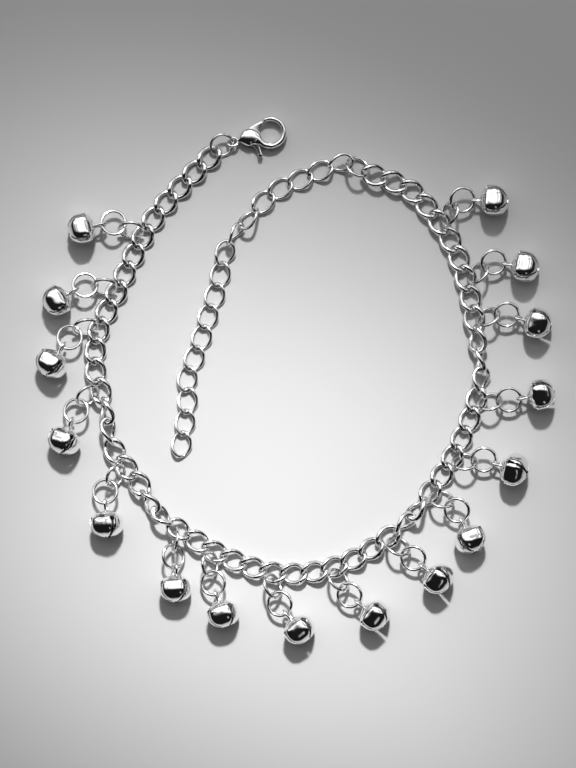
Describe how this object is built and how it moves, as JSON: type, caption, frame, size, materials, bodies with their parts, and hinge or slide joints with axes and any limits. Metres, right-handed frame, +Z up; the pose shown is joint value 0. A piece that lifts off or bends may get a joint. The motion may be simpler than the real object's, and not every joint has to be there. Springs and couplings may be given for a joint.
{
  "type": "bell anklet",
  "caption": "Payal anklet: a silver curb chain with jingle bells on jump rings, a lobster clasp and an extension chain, laid in an open loop.",
  "frame": {"origin": "on the table under the middle of the whole anklet as it lies", "axes": "+Z up from the table, +Y towards the clasp's side of the loop, +X to the right seen from above"},
  "size_m": [0.1008, 0.1026, 0.0061],
  "materials": {
    "chain_silver": "polished silver plate",
    "ring_silver": "polished silver plate",
    "bell_silver": "bright polished silver plate",
    "clasp_silver": "polished silver plate"
  },
  "bodies": {
    "anklet": {"main_chain": "chain_silver", "extension_chain": "chain_silver", "extension_ring": "ring_silver", "clasp_ring": "ring_silver", "clasp_body": "clasp_silver", "upper_ring_01": "ring_silver", "upper_ring_02": "ring_silver", "upper_ring_03": "ring_silver", "upper_ring_04": "ring_silver", "upper_ring_05": "ring_silver", "upper_ring_06": "ring_silver", "upper_ring_07": "ring_silver", "upper_ring_08": "ring_silver", "upper_ring_09": "ring_silver", "upper_ring_10": "ring_silver", "upper_ring_11": "ring_silver", "upper_ring_12": "ring_silver", "upper_ring_13": "ring_silver", "upper_ring_14": "ring_silver", "upper_ring_15": "ring_silver", "upper_ring_16": "ring_silver", "lower_ring_01": "ring_silver", "lower_ring_02": "ring_silver", "lower_ring_03": "ring_silver", "lower_ring_04": "ring_silver", "lower_ring_05": "ring_silver", "lower_ring_06": "ring_silver", "lower_ring_07": "ring_silver", "lower_ring_08": "ring_silver", "lower_ring_09": "ring_silver", "lower_ring_10": "ring_silver", "lower_ring_11": "ring_silver", "lower_ring_12": "ring_silver", "lower_ring_13": "ring_silver", "lower_ring_14": "ring_silver", "lower_ring_15": "ring_silver", "lower_ring_16": "ring_silver", "bell_01": "bell_silver", "bell_02": "bell_silver", "bell_03": "bell_silver", "bell_04": "bell_silver", "bell_05": "bell_silver", "bell_06": "bell_silver", "bell_07": "bell_silver", "bell_08": "bell_silver", "bell_09": "bell_silver", "bell_10": "bell_silver", "bell_11": "bell_silver", "bell_12": "bell_silver", "bell_13": "bell_silver", "bell_14": "bell_silver", "bell_15": "bell_silver", "bell_16": "bell_silver"},
    "lever": {"clasp_lever": "clasp_silver"}
  },
  "joints": [
    {"name": "clasp_lever_hinge", "type": "hinge", "parent": "anklet", "child": "lever", "pos_m": [-0.00791, 0.04658, 0.0012], "axis": [0, 0, -1], "range_deg": [0, 22], "stiffness_Nm_per_rad": 0.015}
  ]
}
